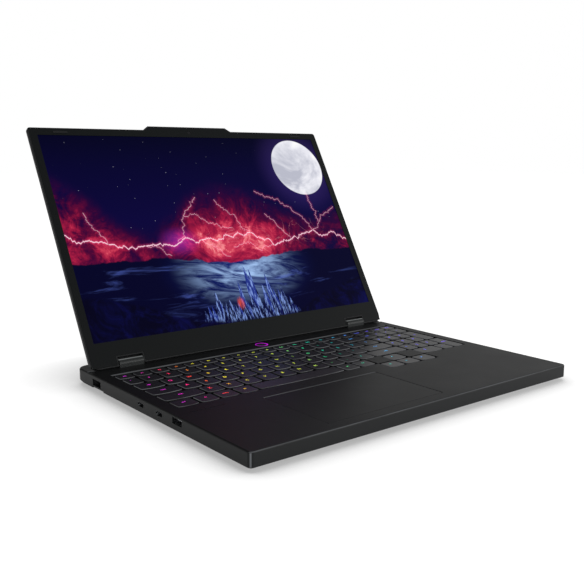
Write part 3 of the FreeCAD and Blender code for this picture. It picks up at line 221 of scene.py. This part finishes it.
class Shader(Nodes):
    """A material: its nodes, its surface and the place on the piece that a pattern starts from."""

    def __init__(self, name):
        self.material = bpy.data.materials.new(name)
        self.material.use_nodes = True
        super().__init__(self.material.node_tree)
        self.surface = self.nodes["Principled BSDF"]
        self.place = self.add("ShaderNodeTexCoord").outputs["Object"]

    def set(self, **values):
        """Values or sockets for the surface, by input name with _ for a space."""
        for key, value in values.items():
            self.feed(self.surface.inputs[key.replace("_", " ")], value)

    def facing(self, axis, low, high, to_low=0.0, to_high=1.0):
        """A step on how far a face looks along an axis (0, 1 or 2) of the piece's own frame."""
        lean = self.separate(self.add("ShaderNodeTexCoord").outputs["Normal"])[axis]
        return self.span(lean, low, high, to_low, to_high)

    def noise(self, scale, detail=2.0, roughness=0.5, place=None, distortion=0.0):
        node = self.add("ShaderNodeTexNoise")
        self.feed(node.inputs["Vector"], place if place is not None else self.place)
        node.inputs["Scale"].default_value = scale
        node.inputs["Detail"].default_value = detail
        node.inputs["Roughness"].default_value = roughness
        node.inputs["Distortion"].default_value = distortion
        return node.outputs["Fac"]

    def line_noise(self, position, scale, detail, roughness):
        """Noise along one number."""
        node = self.add("ShaderNodeTexNoise", noise_dimensions="1D")
        self.feed(node.inputs["W"], position)
        node.inputs["Scale"].default_value = scale
        node.inputs["Detail"].default_value = detail
        node.inputs["Roughness"].default_value = roughness
        return node.outputs["Fac"]

    def bump(self, height, distance):
        node = self.add("ShaderNodeBump")
        node.inputs["Distance"].default_value = distance
        self.feed(node.inputs["Height"], height)
        self.feed(self.surface.inputs["Normal"], node.outputs[0])

    def paint_highlight(self, where, colour, dimmest, brightest, scale, spread=0.2):
        """A painted highlight: an uneven faint glow of its own on part of the surface, for edges that look
        lighter.
        """
        uneven = self.span(self.noise(scale, 3.0), 0.5 - spread, 0.5 + spread, dimmest, brightest)
        self.set(Emission_Color=colour, Emission_Strength=self.times(where, uneven))


def dress(material, *names):
    """Give CAD nodes a material."""
    for name in names:
        for place in frame["nodes"][name].material_slots:
            place.material = material


# ---------------------------------------------------------------- plain materials

def scaled(colour, factor):
    """A darker or lighter copy of a colour."""
    return tuple(channel * factor for channel in colour[:3]) + (1,)


def moulded_shader(name, colour, roughness, depth=0.01, gloss=0.5):
    """Textured plastic or paint: a fine grain, faint mottling and slightly uneven gloss."""
    shader = Shader(name)
    fine = shader.noise(2600, 3.0, 0.6)
    cloud = shader.noise(22, 4.0, 0.55)
    dark = scaled(colour, 0.9)
    light = scaled(colour, 1.1)
    mottled = shader.total(shader.times(fine, 0.7), shader.times(cloud, 0.3))
    shader.set(Base_Color=shader.ramp(mottled, [(0.35, dark), (0.65, light)]),
               Roughness=shader.span(cloud, 0.3, 0.7, roughness - 0.015, roughness + 0.015),
               Specular_IOR_Level=gloss)
    shader.bump(fine, depth * MM)
    return shader


def moulded(name, colour, roughness, **settings):
    return moulded_shader(name, colour, roughness, **settings).material


def key_plastic():
    """Smooth plastic with a painted highlight: a faint grey glow on the caps' upper rims, where the edges
    look lighter.
    """
    shader = moulded_shader("key_plastic", srgb(34, 34, 37), 0.36, depth=0.003, gloss=0.36)
    low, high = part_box("keys_home_row")
    height = shader.separate(shader.place)[2]
    # painted highlight on the upper rims of the caps
    rim_highlight = shader.times(shader.facing(2, 0.60, 0.97, 1.0, 0.0),
                       shader.span(height, high.z - 0.6 * MM, high.z - 0.25 * MM))
    shader.paint_highlight(rim_highlight, srgb(140, 142, 146), 0.12, 0.42, 45, spread=0.15)
    return shader.material


def deck_plastic():
    """The charcoal case paint, with a painted highlight: its front-facing bevels and front corners glow
    faintly lighter.
    """
    shader = moulded_shader("deck_plastic", srgb(22, 23, 24), 0.45, gloss=0.12)
    bevel = shader.times(shader.facing(2, 0.35, 0.60), shader.facing(2, 0.80, 0.96, 1.0, 0.0),
                         shader.facing(1, -0.5, -0.2, 1.0, 0.0))
    corner = shader.times(shader.facing(1, -0.72, -0.5, 1.0, 0.0), shader.facing(1, -0.88, -0.78),
                          shader.facing(2, 0.1, 0.4, 1.0, 0.0))
    # painted highlight on the front-facing bevels and the front corners
    painted_highlight = shader.math("MAXIMUM", bevel, shader.times(corner, 1.6))
    shader.paint_highlight(painted_highlight, srgb(96, 98, 101), 0.35, 0.6, 30)
    return shader.material


def hinge_plastic():
    """Dark grey caps with a painted highlight: a lighter glowing line along the top."""
    shader = moulded_shader("hinge_plastic", srgb(30, 33, 33), 0.40, gloss=0.25)
    shader.paint_highlight(shader.facing(2, 0.86, 0.99), srgb(150, 154, 154), 0.4, 0.7, 40)
    return shader.material


def brushed(name, colour, roughness):
    """Brushed or drawn metal with fine lengthwise lines."""
    shader = Shader(name)
    stretched = shader.add("ShaderNodeMapping")
    stretched.inputs["Scale"].default_value = (90, 4000, 4000)
    shader.feed(stretched.inputs["Vector"], shader.place)
    lines = shader.noise(1.0, 3.0, 0.6, place=stretched.outputs[0])
    shader.set(Base_Color=shader.ramp(lines, [(0.3, scaled(colour, 0.8)), (0.7, colour)]),
               Roughness=shader.span(lines, 0.3, 0.7, roughness - 0.06, roughness + 0.08), Metallic=1.0)
    shader.bump(lines, 0.004 * MM)
    return shader.material


def board(name, colour, track):
    """A circuit board: solder mask over fine tracks."""
    shader = Shader(name)
    cells = shader.add("ShaderNodeTexVoronoi", distance="MANHATTAN")
    cells.inputs["Scale"].default_value = 260
    shader.feed(cells.inputs["Vector"], shader.place)
    mask = shader.span(cells.outputs["Distance"], 0.28, 0.34)
    shader.set(Base_Color=shader.mix(mask, colour, track), Roughness=shader.span(mask, 0, 1, 0.35, 0.5))
    shader.bump(mask, 0.03 * MM)
    return shader.material


def glowing(name, node, colour, strength):
    """A lit light guide, brightest on its right, where its lamp is."""
    shader = Shader(name)
    low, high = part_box(node)
    uneven = shader.noise(900, 2.0)
    along = shader.span(shader.separate(shader.place)[0], low.x, high.x, 0.45 * strength, strength)
    glow = shader.times(along, shader.span(uneven, 0.2, 0.8, 0.8, 1.0))
    shader.set(Base_Color=scaled(colour, 0.25), Emission_Color=colour, Emission_Strength=glow,
               Roughness=0.35)
    return shader.material


# ---------------------------------------------------------------- screen picture

SCREEN_SHAPE = 1.6          # width over height
PICTURE_START = 20 * MM     # from the hinge axis up the lid to the picture's lower edge


class Picture(Shader):
    """A made-up night landscape: stars, moon, a storm-lit cloud band, hills and a misty valley.

    u runs across the screen from -0.8 to 0.8 and v up it from 0 to 1.
    """

    def __init__(self):
        super().__init__("screen_picture")
        low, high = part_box("display_panel")
        x, y, z = self.separate(self.place)
        height = (high.x - low.x) / SCREEN_SHAPE
        up = self.total(self.times(self.math("SUBTRACT", y, HINGE.y), LID_UP.y),
                        self.times(self.math("SUBTRACT", z, HINGE.z), LID_UP.z))
        self.u = self.times(x, 1 / height)
        self.v = self.times(self.math("SUBTRACT", up, PICTURE_START), 1 / height)
        self.flat = self.combine(self.u, self.v)

    def away(self, u, v, stretch_u=1.0, stretch_v=1.0):
        """Distance from a point, in screen heights."""
        du = self.times(self.math("SUBTRACT", self.u, u), 1 / stretch_u)
        dv = self.times(self.math("SUBTRACT", self.v, v), 1 / stretch_v)
        return self.math("SQRT", self.total(self.times(du, du), self.times(dv, dv)))

    def profile(self, heights):
        """A smooth curve through (u, height) pairs."""
        node = self.add("ShaderNodeValToRGB")
        node.color_ramp.interpolation = "B_SPLINE"
        elements = node.color_ramp.elements
        while len(elements) < len(heights):
            elements.new(0.5)
        for element, (u, height) in zip(elements, heights):
            element.position = u / SCREEN_SHAPE + 0.5
            element.color = (height, height, height, 1)
        self.feed(node.inputs[0], self.total(self.times(self.u, 1 / SCREEN_SHAPE), 0.5))
        return self.separate(node.outputs[0])[0]

    def crooked(self, scale, amount, seed):
        """A rough line's height at each u, centred on 0."""
        wave = self.line_noise(self.total(self.u, seed), scale, 7.0, 0.55)
        return self.times(self.math("SUBTRACT", wave, 0.5), amount)

    def below(self, line, soft=0.004):
        return self.span(self.math("SUBTRACT", self.v, line), -soft, soft, 1.0, 0.0)

    def sky(self):
        night = self.ramp(self.v, [(0.0, srgb(8, 4, 56)), (0.55, srgb(8, 3, 58)),
                                   (0.82, srgb(4, 2, 46)), (1.0, srgb(1, 1, 30))])
        cloud = self.noise(3.0, 10.0, 0.66, self.flat, 1.1)
        wisps = self.noise(8.0, 9.0, 0.72, self.flat, 1.8)
        top = self.profile([(-0.8, 0.84), (-0.6, 0.68), (-0.43, 0.46), (-0.25, 0.58),
                            (-0.02, 0.78), (0.22, 0.76), (0.48, 0.52), (0.8, 0.56)])
        ceiling = self.total(top, self.crooked(3.1, 0.12, 1.7))
        band = self.span(self.math("SUBTRACT", ceiling, self.v), -0.05, 0.22)
        heat = self.span(self.away(0.12, 0.41, 2.0, 0.75), 0.0, 0.30, 0.62, 0.0)
        ember = self.span(self.away(-0.70, 0.45, 2.0, 1.0), 0.0, 0.20, 0.20, 0.0)
        spark = self.span(self.away(-0.24, 0.43, 1.5, 1.0), 0.0, 0.09, 0.40, 0.0)
        thick = self.total(self.span(cloud, 0.34, 0.68, -0.05, 0.52),
                           self.span(wisps, 0.40, 0.70, -0.03, 0.32), heat, ember)
        storm = self.ramp(self.times(band, thick), [
            (0.0, srgb(14, 2, 56)), (0.16, srgb(48, 0, 52)), (0.38, srgb(98, 6, 52)),
            (0.64, srgb(168, 26, 66)), (0.86, srgb(214, 66, 92)), (1.0, srgb(244, 136, 142))])
        glow = self.mix(spark, storm, srgb(170, 50, 190), "ADD")
        return self.mix(self.span(band, 0.0, 0.5), night, glow)

    def stars(self):
        cells = self.add("ShaderNodeTexVoronoi", voronoi_dimensions="2D")
        cells.inputs["Scale"].default_value = 15
        self.feed(cells.inputs["Vector"], self.flat)
        brightness = self.separate(cells.outputs["Color"])[0]
        size = self.span(brightness, 0.6, 1.0, 0.0, 0.045, smooth=False)
        dots = self.span(cells.outputs["Distance"], 0.0, size, 0.6, 0.0)
        return self.times(dots, self.span(brightness, 0.6, 0.62), self.span(self.v, 0.40, 0.55))

    def bolt(self, start, end, width, seed):
        """A flash from start to end that strays from the straight line, and the glow round it."""
        (u0, v0), (u1, v1) = start, end
        length = math.hypot(u1 - u0, v1 - v0)
        cos, sin = (u1 - u0) / length, (v1 - v0) / length
        du = self.math("SUBTRACT", self.u, u0)
        dv = self.math("SUBTRACT", self.v, v0)
        along = self.total(self.times(du, cos), self.times(dv, sin))
        across = self.total(self.times(dv, cos), self.times(du, -sin))
        wave = self.line_noise(self.total(along, seed), 7.0, 7.0, 0.66)
        stray = self.times(self.math("SUBTRACT", wave, 0.5), 0.13)
        pinned = self.times(stray, self.span(along, 0.0, 0.04),
                            self.span(along, length - 0.04, length, 1.0, 0.0))
        gap = self.math("ABSOLUTE", self.math("SUBTRACT", across, pinned))
        inside = self.times(self.span(along, -0.004, 0.004),
                            self.span(along, length - 0.01, length, 1.0, 0.0))
        core = self.times(self.span(gap, width * 0.2, width, min(1.0, 250 * width), 0.0), inside)
        halo = self.times(self.span(gap, 0.0, 0.016, min(1.0, 200 * width), 0.0), inside)
        return core, halo

    def lightning(self, behind):
        main = [(-0.80, 0.50), (-0.60, 0.44), (-0.42, 0.42), (-0.12, 0.43),
                (0.18, 0.45), (0.30, 0.37), (0.58, 0.44), (0.80, 0.37)]
        branches = [
            [(-0.12, 0.43), (0.02, 0.33)],
            [(-0.25, 0.43), (-0.18, 0.56), (-0.08, 0.66)],
            [(-0.18, 0.56), (0.08, 0.48)],
            [(0.28, 0.68), (0.48, 0.58), (0.58, 0.44)],
            [(0.78, 0.57), (0.64, 0.48), (0.58, 0.44)],
            [(0.62, 0.66), (0.64, 0.48)],
            [(0.02, 0.64), (0.18, 0.45)],
            [(-0.68, 0.60), (-0.60, 0.44)],
            [(0.05, 0.38), (0.30, 0.37)],
            [(0.30, 0.55), (0.42, 0.40)],
            [(-0.42, 0.42), (-0.30, 0.36)],
        ]
        paths = [(main, 0.0040)] + [(branch, 0.0022) for branch in branches]
        steps = [(start, end, width) for path, width in paths for start, end in zip(path, path[1:])]
        flashes = [self.bolt(*step, seed=3.7 * index) for index, step in enumerate(steps, start=1)]
        cores = self.math("MINIMUM", self.total(*[core for core, halo in flashes]), 1.0)
        halos = self.math("MINIMUM", self.total(*[halo for core, halo in flashes]), 1.0)
        web = self.noise(6.0, 4.0, 0.55, self.flat, 1.4)
        thread = self.span(self.math("ABSOLUTE", self.math("SUBTRACT", web, 0.5)), 0.0, 0.008, 0.45, 0.0)
        near = self.times(self.span(self.away(0.22, 0.44, 2.6, 0.5), 0.05, 0.22, 1.0, 0.0), thread)
        glowing_air = self.mix(self.times(halos, 0.32), behind, srgb(236, 70, 130), "ADD")
        threaded = self.mix(near, glowing_air, srgb(250, 150, 165))
        return self.mix(cores, threaded, srgb(255, 214, 228))

    def hills(self, behind):
        ridge = self.profile([(-0.8, 0.355), (-0.45, 0.355), (-0.25, 0.35),
                              (0.05, 0.275), (0.38, 0.35), (0.8, 0.31)])
        crest = self.total(ridge, self.crooked(9.0, 0.035, 4.2))
        slanted = self.add("ShaderNodeMapping")
        slanted.inputs["Rotation"].default_value = (0, 0, math.radians(40))
        slanted.inputs["Scale"].default_value = (1.8, 12.0, 1.0)
        self.feed(slanted.inputs["Vector"], self.flat)
        streaks = self.noise(1.5, 8.0, 0.62, slanted.outputs[0], 0.6)
        radius = self.away(0.06, 0.27, 1.9, 1.0)
        bowl = self.span(radius, 0.0, 0.26, 1.0, 0.0)
        drift = self.combine(self.times(self.u, 2.4),
                             self.total(self.times(self.v, 13.0), self.times(self.u, 2.2)))
        mist = self.noise(1.3, 9.0, 0.66, drift, 1.3)
        slope = self.mix(bowl, srgb(2, 2, 38), srgb(14, 32, 108))
        snow = self.times(self.span(streaks, 0.56, 0.72), self.total(0.34, self.times(bowl, 0.35)))
        lit = self.mix(snow, slope, srgb(92, 114, 214))
        veil = self.times(self.span(mist, 0.38, 0.66), self.span(radius, 0.02, 0.22, 0.95, 0.0))
        return self.mix(self.below(crest), behind, self.mix(veil, lit, srgb(168, 202, 248)))

    def needles(self, behind):
        """Narrow rock needles standing in the valley, in three rows."""
        picture = behind
        rock = self.noise(30, 6.0, 0.7, self.combine(self.times(self.u, 3.4), self.times(self.v, 0.6)))
        light = self.span(rock, 0.48, 0.60, 0.0, 0.8)
        away = self.math("ABSOLUTE", self.math("SUBTRACT", self.u, 0.05))
        crowd = self.span(away, 0.02, 0.40, 1.0, 0.0)
        rows = ((37, 0.29, 0.0, srgb(34, 50, 134)), (23, 0.30, 5.3, srgb(10, 16, 74)),
                (41, 0.18, 2.4, srgb(4, 5, 48)))
        for scale, reach, seed, tone in rows:
            cells = self.add("ShaderNodeTexVoronoi", voronoi_dimensions="1D")
            self.feed(cells.inputs["W"], self.total(self.u, self.times(self.v, 0.05), seed))
            cells.inputs["Scale"].default_value = scale
            chance = self.separate(cells.outputs["Color"])[0]
            top = self.times(crowd, self.span(chance, 0.1, 1.0, 0.35 * reach, reach))
            drop = self.times(cells.outputs["Distance"], 0.16)
            edge = self.math("SUBTRACT", self.math("SUBTRACT", top, drop), self.v)
            face = self.mix(light, tone, srgb(140, 170, 238))
            picture = self.mix(self.span(edge, 0.0, 0.005), picture, face)
        ember = self.span(self.away(-0.01, 0.09, 0.8, 1.2), 0.0, 0.034, 0.9, 0.0)
        return self.mix(self.times(ember, self.span(rock, 0.36, 0.56)), picture, srgb(255, 88, 60))

    def foreground(self, behind):
        ridge = self.profile([(-0.8, 0.22), (-0.5, 0.13), (-0.22, 0.0),
                              (0.3, 0.0), (0.45, 0.06), (0.8, 0.17)])
        crest = self.total(ridge, self.crooked(6.0, 0.04, 9.1))
        mottle = self.noise(7.0, 9.0, 0.7, self.flat, 0.8)
        slope = self.mix(self.span(mottle, 0.45, 0.75), srgb(2, 1, 26), srgb(10, 12, 74))
        return self.mix(self.below(crest, 0.012), behind, slope)

    def moon(self, behind):
        distance = self.away(0.625, 0.815)
        seas = self.noise(4.5, 7.0, 0.6, self.flat, 0.5)
        face = self.ramp(seas, [(0.36, srgb(186, 188, 202)), (0.50, srgb(236, 236, 244)),
                                (0.60, srgb(255, 255, 255))])
        halo = self.mix(self.span(distance, 0.14, 0.30, 0.10, 0.0), behind, srgb(110, 80, 190), "ADD")
        return self.mix(self.span(distance, 0.164, 0.168, 1.0, 0.0), halo, face)

    def build(self):
        starry = self.mix(self.stars(), self.sky(), srgb(214, 214, 240))
        lit = self.lightning(self.moon(starry))
        land = self.foreground(self.needles(self.hills(lit)))
        self.set(Base_Color=srgb(2, 2, 3), Emission_Color=land, Emission_Strength=1.0, Roughness=0.5,
                 Specular_IOR_Level=0.02)
        grain = self.noise(3500, 1.0)
        self.bump(grain, 0.002 * MM)
        return self.material


# ---------------------------------------------------------------- key legends

def caps_of(node):
    """The lowest and highest corner of each separate keycap in a node, from left to right by rows."""
    shape = bmesh.new()
    shape.from_mesh(frame["nodes"][node].data)
    bmesh.ops.remove_doubles(shape, verts=shape.verts, dist=1e-6)
    unseen = set(shape.verts)
    boxes = []
    while unseen:
        stack = [unseen.pop()]
        island = []
        while stack:
            vertex = stack.pop()
            island.append(vertex.co)
            for edge in vertex.link_edges:
                other = edge.other_vert(vertex)
                if other in unseen:
                    unseen.remove(other)
                    stack.append(other)
        low = Vector(min(corner[axis] for corner in island) for axis in range(3))
        high = Vector(max(corner[axis] for corner in island) for axis in range(3))
        boxes.append((low, high))
    shape.free()
    return sorted(boxes, key=lambda box: (-round(box[1].y, 3), box[0].x))


# The words on each key node's caps, in the order that caps_of gives them
LEGENDS = {
    "keys_function_row": ["esc"] + [f"F{number}" for number in range(1, 13)] + ["ins", "prt", "del"],
    "keys_number_row": ["`"] + list("1234567890-="),
    "key_backspace": ["back"],
    "key_tab": ["tab"],
    "keys_upper_row": list("QWERTYUIOP[]") + ["\\"],
    "key_caps_lock": ["caps"],
    "keys_home_row": list("ASDFGHJKL;'"),
    "key_enter": ["enter"],
    "key_shift_left": ["shift"],
    "keys_lower_row": list("ZXCVBNM,./"),
    "key_shift_right": ["shift"],
    "keys_bottom_row": ["ctrl", "fn", "menu", "alt", "alt", "ctrl"],
    "key_arrow_up": ["^"],
    "key_arrow_left": ["<"],
    "key_arrow_down": ["v"],
    "key_arrow_right": [">"],
    "keys_keypad_top": ["home", "end", "pg up", "pg dn", "num", "/", "*", "-"],
    "keys_keypad_digits": list("789456123."),
    "key_keypad_plus": ["+"],
    "key_keypad_enter": ["enter"],
    "key_keypad_zero": ["0"],
}
SINGLE_SIZE = 4.2 * MM
WORD_SIZE = 2.6 * MM
LEGEND_THICKNESS = 0.02 * MM
# Where a legend's middle lies on its keycap, as a share of the width and of the depth
SINGLE_ACROSS = 0.40
WORD_ACROSS = 0.50
LEGEND_ALONG = 0.60
# The lighting zones run from this far left of the middle to as far right
LIGHTING_REACH = 165 * MM


def letters(text, size):
    """The mesh of a short word, centred on the origin."""
    curve = bpy.data.curves.new("letters", "FONT")
    curve.body = text
    curve.size = size
    curve.extrude = LEGEND_THICKNESS
    curve.resolution_u = 3
    curve.align_x = "CENTER"
    curve.align_y = "CENTER"
    holder = bpy.data.objects.new("letters", curve)
    bpy.context.scene.collection.objects.link(holder)
    bpy.context.view_layer.update()
    mesh = bpy.data.meshes.new_from_object(holder.evaluated_get(bpy.context.evaluated_depsgraph_get()))
    bpy.data.objects.remove(holder)
    bpy.data.curves.remove(curve)
    return mesh


def add_legends(material):
    """Raised, lit legends: one piece per key node, which rides with that key."""
    for node, words in LEGENDS.items():
        shape = bmesh.new()
        for word, (low, high) in zip(words, caps_of(node)):
            size, across = (SINGLE_SIZE, SINGLE_ACROSS) if len(word) == 1 else (WORD_SIZE, WORD_ACROSS)
            mesh = letters(word, size)
            place = Vector((low.x + (high.x - low.x) * across, low.y + (high.y - low.y) * LEGEND_ALONG,
                            high.z + LEGEND_THICKNESS))
            mesh.transform(Matrix.Translation(place))
            shape.from_mesh(mesh)
            bpy.data.meshes.remove(mesh)
        piece_mesh = bpy.data.meshes.new("legends_" + node)
        shape.to_mesh(piece_mesh)
        shape.free()
        piece = bpy.data.objects.new("legends_" + node, piece_mesh)
        bpy.context.scene.collection.objects.link(piece)
        piece_mesh.materials.append(material)
        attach(piece, node)


def legend_light():
    """Colour that runs across the keyboard, as the lighting zones do."""
    shader = Shader("legend_light")
    x = shader.separate(shader.place)[0]
    along = shader.span(x, -LIGHTING_REACH, LIGHTING_REACH, smooth=False)
    colour = shader.ramp(along, [
        (0.00, srgb(150, 30, 190)), (0.07, srgb(205, 30, 180)), (0.13, srgb(235, 30, 90)),
        (0.17, srgb(240, 70, 40)), (0.23, srgb(215, 200, 40)), (0.46, srgb(190, 205, 60)),
        (0.56, srgb(40, 200, 130)), (0.66, srgb(30, 200, 185)), (0.76, srgb(60, 140, 210)),
        (0.86, srgb(90, 70, 220)), (1.00, srgb(110, 80, 225))])
    patchy = shader.noise(70, 2.0)
    shader.set(Base_Color=colour, Emission_Color=colour,
               Emission_Strength=shader.span(patchy, 0.3, 0.7, 0.9, 1.8), Roughness=0.5)
    return shader.material


# ---------------------------------------------------------------- put it together

def dress_outside():
    dress(deck_plastic(), "base_top_case")
    dress(moulded("lid_plastic", srgb(26, 27, 28), 0.45, gloss=0.14), "lid_cover", "ethernet_jaw")
    dress(moulded("cover_plastic", srgb(28, 28, 30), 0.58, depth=0.02, gloss=0.25), "base_bottom_cover")
    dress(moulded("bezel_plastic", srgb(5, 8, 9), 0.5, gloss=0.12), "lid_bezel")
    keys = [name for name in frame["nodes"] if name.startswith("key") and name != "keyboard_backplate"]
    dress(key_plastic(), *keys)
    dress(moulded("tray_paint", srgb(16, 16, 18), 0.6), "keyboard_backplate")
    dress(moulded("touchpad_film", srgb(20, 21, 22), 0.42, depth=0.002, gloss=0.11), "touchpad")
    dress(moulded("button_plastic", srgb(34, 34, 38), 0.4), "power_button", "camera_switch")
    dress(glowing("ring_light", "power_button_ring", srgb(205, 20, 225), 1.1), "power_button_ring")
    dress(hinge_plastic(), "hinge_covers")
    dress(moulded("foot_rubber", srgb(20, 21, 22), 0.75, depth=0.02, gloss=0.2),
          "rubber_feet", "lid_bumpers")
    dress(moulded("camera_glass", srgb(10, 10, 14), 0.12, depth=0.0005), "camera_module")
    dress(Picture().build(), "display_panel")


def dress_metal():
    dress(brushed("hinge_steel", srgb(150, 150, 155), 0.35),
          "hinge_base_brackets", "hinge_pins", "hinge_lid_arms")
    dress(brushed("socket_steel", srgb(165, 167, 172), 0.3),
          "usb_a_ports", "usb_c_ports", "hdmi_port", "power_inlet")
    dress(brushed("black_steel", srgb(62, 62, 66), 0.4), "bottom_screws")
    dress(brushed("copper", srgb(222, 150, 112), 0.32), "heat_pipes")
    dress(brushed("fin_aluminium", srgb(196, 198, 202), 0.36), "heatsink_fins")


def dress_inside():
    dress(moulded("black_plastic", srgb(26, 26, 28), 0.5),
          "audio_jack", "ethernet_jack", "fan_housing_left", "fan_housing_right",
          "fan_rotor_left", "fan_rotor_right", "speakers", "battery_pack")
    dress(board("circuit_board", srgb(18, 60, 52), srgb(30, 84, 70)), "motherboard")
    dress(board("module_board", srgb(22, 40, 42), srgb(16, 18, 20)),
          "ssd_module", "memory_modules", "wireless_card")
    dress(moulded("chip_silicon", srgb(66, 68, 76), 0.2, depth=0.001), "processor_packages")


add_camera()
add_world()
add_floor()
dress_outside()
dress_metal()
dress_inside()
add_legends(legend_light())
add_area("overhead", place=(0.1, 0.1, 1.6), target=(0, 0, 0), size=(1.6, 1.6), power=3)
add_area("front", place=(1.0, -1.5, 0.3), target=(0.12, -0.17, 0.01), size=(0.9, 0.6), power=9)
bpy.context.scene.view_settings.view_transform = "Standard"
